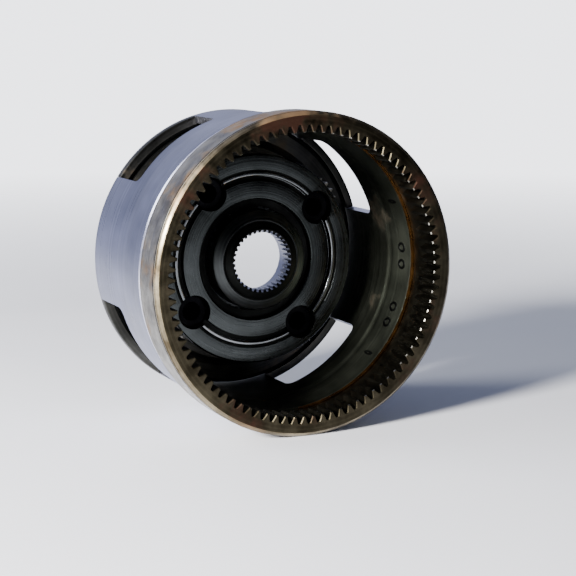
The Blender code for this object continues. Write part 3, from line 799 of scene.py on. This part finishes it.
def rear_carrier_plate(looks):
    """A dished plate with a groove behind its rim, its pin holes, and a lug in each drum slot."""
    # `groove` is the painted-shade black on the groove behind the rim and in the pin holes.
    face, groove = range(2)
    groove_floor = FLANGE_FACE + RIM_GROOVE_DEPTH
    outline = [
        (WEB_BORE_R, WEB_FACE + PLATE_CHAMFER, face),
        (WEB_BORE_R + PLATE_CHAMFER, WEB_FACE, face),
        (WEB_FRONT_R, WEB_FACE, face),
        (*WEB_CONE, face),
        (FLANGE_INNER_R, FLANGE_FACE, face),
        (RIM_GROOVE_INNER_R, FLANGE_FACE, groove),
        (RIM_GROOVE_INNER_R, groove_floor, groove),
        (REAR_PLATE_R, groove_floor, groove),
        (REAR_PLATE_R, LENGTH, face),
        (DISH_RIM_R, LENGTH, face),
        (DISH_R, WEB_BACK, face),
        (WEB_BORE_R, WEB_BACK, face),
    ]
    materials = [looks[key] for key in ("rear_plate", "groove")]
    bm = turned_mesh(rounded(outline, REAR_PLATE_EDGE_R))
    plate = make_piece("rear_carrier_plate_detail", bm, materials, HOUSING, "dark_plate",
                       "rear_carrier_plate")
    lug_back = LENGTH - LUG_INSET
    section = [
        (REAR_PLATE_R - CUT_MARGIN, groove_floor + LUG_ROOT_STEP),
        (REAR_PLATE_R, groove_floor + LUG_ROOT_STEP),
        (REAR_PLATE_R, FLANGE_FACE),
        (LUG_SHOULDER_R, FLANGE_FACE),
        (LUG_CORNER_R, FLANGE_FACE + LUG_CORNER_RISE),
        (DRUM_OUTER_R, FLANGE_FACE + LUG_CORNER_DEPTH),
        (DRUM_OUTER_R, lug_back - LUG_REAR_CORNER_DEPTH),
        (LUG_CORNER_R, lug_back - LUG_REAR_CORNER_RISE),
        (LUG_SHOULDER_R, lug_back),
        (REAR_PLATE_R - CUT_MARGIN, lug_back),
    ]
    lugs = []
    for index, angle in enumerate(planet_angles(), start=1):
        bm = swept_mesh(section, angle, 2 * SLOT_HALF - LUG_CLEARANCE_ANGLE, LUG_STEPS)
        lugs.append(loose(f"lug_tool_{index}", bm))
    combine(plate, lugs, 'UNION')
    drill_pin_holes(plate, WEB_FACE, WEB_BACK, groove)


def spline_tool(zone):
    """The spaces of the bore's splines as one star-shaped bar; flanks are in parts of a pitch."""
    inside = SPLINE_MINOR_R - SPLINE_MARGIN
    middle = (SPLINE_MINOR_R + SPLINE_MAJOR_R) / 2
    high = SPLINE_MAJOR_R - SPLINE_FILLET
    pitch = 2 * math.pi / SPLINE_TEETH
    flank = ((inside, 0.31), (middle, 0.25), (high, 0.18), (SPLINE_MAJOR_R, 0.12))
    corners = [(r, -part) for r, part in flank] + list(reversed(flank))
    outline = [(r, (i + part) * pitch) for i in range(SPLINE_TEETH) for r, part in corners]
    stations = (SUN_FRONT - CUT_MARGIN, SPLINE_BACK + CUT_MARGIN)
    loops = [[polar(r, a, along(s)) for r, a in outline] for s in stations]
    return loose("spline_tool", prism_mesh(loops, zone))


def sun_gear(looks):
    """Teeth at the back, a hub with a coned front ahead of them, and a splined bore."""
    # `groove` is the painted-shade black on the nose and the cone round the mouth of the bore.
    face, spline, groove, smooth = range(4)
    rows = external_rows(SUN_TEETH, 0.0, SUN_TEETH_FRONT)
    bore = [
        (SUN_REAR_BORE_R, SUN_TEETH_FRONT, smooth),
        (SUN_REAR_BORE_R, PLANET_BACK - SUN_REAR_CHAMFER, smooth),
        (SUN_REAR_BORE_R + SUN_REAR_CHAMFER, PLANET_BACK, smooth),
    ]
    bm = toothed_mesh(rows, bore, SUN_TEETH, TIP_LAND, face, face, face, face)
    materials = [looks[key] for key in ("hub", "spline", "groove", "drum")]
    gear = make_piece("sun_gear_detail", bm, materials, "sun", "gear_steel", "sun_gear")
    notch_inner, notch_outer, notch_lip = SUN_NOTCH
    hub = [
        (SPLINE_MINOR_R, SPLINE_FRONT, groove),
        (SUN_NOSE_R, SUN_FRONT, groove),
        (*SUN_CONE, groove),
        (*notch_inner, groove),
        (*notch_outer, face),
        (*notch_lip, face),
        (*SUN_SHOULDER, face),
        (SUN_HUB_R, SUN_HUB_FRONT, face),
        (SUN_HUB_R, SUN_TEETH_FRONT + SUN_OVERLAP, face),
        (SUN_REAR_BORE_R + SUN_REAR_STEP, SUN_TEETH_FRONT + SUN_OVERLAP, smooth),
        (SUN_REAR_BORE_R + SUN_REAR_STEP, SUN_TEETH_FRONT - SUN_REAR_STEP, smooth),
        (SUN_BORE_R, SUN_BORE_BACK, smooth),
        (SUN_BORE_R, SPLINE_BACK, spline),
        (SPLINE_MINOR_R, SPLINE_BACK, spline),
    ]
    front_hub = loose("hub_tool", turned_mesh(rounded(hub, SUN_HUB_EDGE_R), SUN_HUB_STEPS), materials)
    combine(gear, [front_hub], 'UNION')
    combine(gear, [spline_tool(spline)], 'DIFFERENCE')


def mesh_phase(angle):
    """Angle of a planet's first tooth that puts it in mesh with the sun."""
    sun_offset = (angle / (2 * math.pi / SUN_TEETH)) % 1.0
    return angle + math.pi + (0.5 + sun_offset) * 2 * math.pi / PLANET_TEETH


def planet_gear(index, angle, looks):
    """A planet with eased tooth ends and a chamfered bore, moved onto its pin."""
    # The tip lands and their eased ends take the tip steel, lighter partly from wear and partly as a
    # painted glint.
    plain, worn_and_glinting = range(2)
    rows = external_rows(PLANET_TEETH, mesh_phase(angle), PLANET_FRONT)
    bore = [
        (PLANET_BORE_R + PLANET_BORE_CHAMFER, PLANET_FRONT, plain),
        (PLANET_BORE_R, PLANET_FRONT + PLANET_BORE_CHAMFER, plain),
        (PLANET_BORE_R, PLANET_BACK - PLANET_BORE_CHAMFER, plain),
        (PLANET_BORE_R + PLANET_BORE_CHAMFER, PLANET_BACK, plain),
    ]
    bm = toothed_mesh(rows, bore, PLANET_TEETH, TIP_LAND, plain, worn_and_glinting, plain, worn_and_glinting)
    bmesh.ops.translate(bm, vec=polar(PIN_CIRCLE_R, angle, 0.0), verts=bm.verts)
    make_piece(f"planet_gear_{index}_detail", bm, [looks["gear"], looks["tip"]],
               f"planet_{index}", "gear_steel", f"planet_gear_{index}")


def stamped_marks(looks):
    """Generic stamped rings and narrow ovals on the drum's bore, a little behind the ring gear."""
    bm = bmesh.new()
    wall = DRUM_BORE_R - MARK_PROUD
    turns = [2 * math.pi * i / MARK_STEPS for i in range(MARK_STEPS)]
    for degrees, (width, length, hollow) in MARKS:
        middle = math.radians(degrees)
        section = ((1.0, MARK_BASE), (0.9, -MARK_TOP), (hollow + 0.08, -MARK_TOP), (hollow, MARK_BASE))
        loops = []
        for scale, height in section:
            points = [polar(wall + height, middle + width * scale * math.cos(turn) / wall,
                            along(MARK_STATION + length * scale * math.sin(turn))) for turn in turns]
            loops.append([bm.verts.new(point) for point in points])
        for i, loop in enumerate(loops):
            bridge(bm, loop, loops[(i + 1) % len(loops)])
    make_piece("bore_marks", bm, [looks["groove"]], HOUSING, "ground_steel")


def dress_frame_nodes(frame, looks):
    """Give the CAD nodes that stay in view their materials."""
    # The pins take a dark steel that is darkened further as painted shade inside their holes.
    finishes = {"planet_pin": "pin", "needle_bearing": "bearing", "front_thrust_washer": "bronze",
                "rear_thrust_washer": "bronze", "retaining_ring": "snap_ring"}
    for name, node in frame["nodes"].items():
        for stem, key in finishes.items():
            if name.startswith(stem):
                for slot in node.material_slots:
                    slot.link = 'OBJECT'
                    slot.material = looks[key]


# ---------------------------------------------------------------- stage

def floor():
    """A pale sheet that fades into the backdrop, so that no horizon shows."""
    bm = bmesh.new()
    corners = ((-1, -1), (1, -1), (1, 1), (-1, 1))
    bm.faces.new([bm.verts.new((x * FLOOR_HALF, y * FLOOR_HALF, FLOOR_Z)) for x, y in corners])
    mesh = bpy.data.meshes.new("floor")
    bm.to_mesh(mesh)
    bm.free()
    sheet = bpy.data.objects.new("floor", mesh)
    bpy.context.collection.objects.link(sheet)
    material = bpy.data.materials.new("floor_paper")
    tree = Tree(material)
    shader = tree.nodes["Principled BSDF"]
    grain = tree.remap(tree.blotches(6.0, 3.0), 0.3, 0.7)
    tree.feed(shader.inputs["Base Color"], tree.mix(grain, rgb(0.84, 0.85, 0.90), rgb(0.88, 0.89, 0.93)))
    shader.inputs["Roughness"].default_value = 0.75
    reach = tree.add("ShaderNodeVectorMath", {0: tree.position()}, operation='LENGTH').outputs["Value"]
    tree.feed(shader.inputs["Alpha"], tree.remap(reach, FLOOR_FADE_START, FLOOR_FADE_END, 1.0, 0.0))
    mesh.materials.append(material)


def area_light(name, place, size, power, colour):
    """A soft light that points at the assembly's centre."""
    data = bpy.data.lights.new(name, 'AREA')
    data.shape = 'DISK'
    data.size = size
    data.energy = power
    data.color = colour
    lamp = bpy.data.objects.new(name, data)
    bpy.context.collection.objects.link(lamp)
    lamp.location = place
    lamp.rotation_mode = 'QUATERNION'
    lamp.rotation_quaternion = (-Vector(place)).to_track_quat('-Z', 'Y')


def lights():
    """A key from the left front, a broad fill from higher up at the left rear, and the world.

    The world is bright to the camera. Reflections see a sky that is light at the back left and dark
    towards the front right, and the floor and the other diffuse surfaces get an even shade.
    """
    area_light("key", KEY_PLACE, KEY_SIZE, KEY_POWER, KEY_COLOUR)
    area_light("fill_left", FILL_PLACE, FILL_SIZE, FILL_POWER, FILL_COLOUR)
    world = bpy.data.worlds.new("studio")
    bpy.context.scene.world = world
    tree = Tree(world)
    background = tree.nodes["Background"]
    direction = tree.add("ShaderNodeTexCoord").outputs["Generated"]
    facing = tree.add("ShaderNodeVectorMath", {0: direction, 1: SKY_TOWARDS},
                      operation='DOT_PRODUCT').outputs["Value"]
    sky = tree.mix(tree.remap(facing, *SKY_FADE), SKY_DARK, SKY_LIGHT)
    path = tree.add("ShaderNodeLightPath")
    soft = tree.mix(path.outputs["Is Diffuse Ray"], sky, SHADE)
    tree.feed(background.inputs["Color"], tree.mix(path.outputs["Is Camera Ray"], soft, BACKDROP))


def camera():
    """A level camera that sees the assembly's centre where the constants place it."""
    a, e = CAMERA_AZIMUTH, CAMERA_ELEVATION
    right = Vector((math.cos(a), math.sin(a), 0.0))
    up = Vector((-math.sin(a) * math.sin(e), math.cos(a) * math.sin(e), math.cos(e)))
    away = Vector((-math.sin(a) * math.cos(e), math.cos(a) * math.cos(e), -math.sin(e)))
    data = bpy.data.cameras.new("camera")
    data.lens = CAMERA_LENS
    data.sensor_width = SENSOR_WIDTH
    data.clip_start = 0.01
    data.clip_end = 100.0
    cam = bpy.data.objects.new("camera", data)
    bpy.context.collection.objects.link(cam)
    place = -(right * CENTRE_RIGHT + up * CENTRE_UP + away * CENTRE_AWAY)
    basis = Matrix((right, up, -away)).transposed().to_4x4()
    cam.matrix_world = Matrix.Translation(place) @ basis
    bpy.context.scene.camera = cam


def main():
    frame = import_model()
    camera()
    lights()
    floor()
    looks = make_materials()
    dress_frame_nodes(frame, looks)
    ring_gear(looks)
    drum_shell(looks)
    front_carrier_plate(looks)
    rear_carrier_plate(looks)
    sun_gear(looks)
    for index, angle in enumerate(planet_angles(), start=1):
        planet_gear(index, angle, looks)
    stamped_marks(looks)


main()
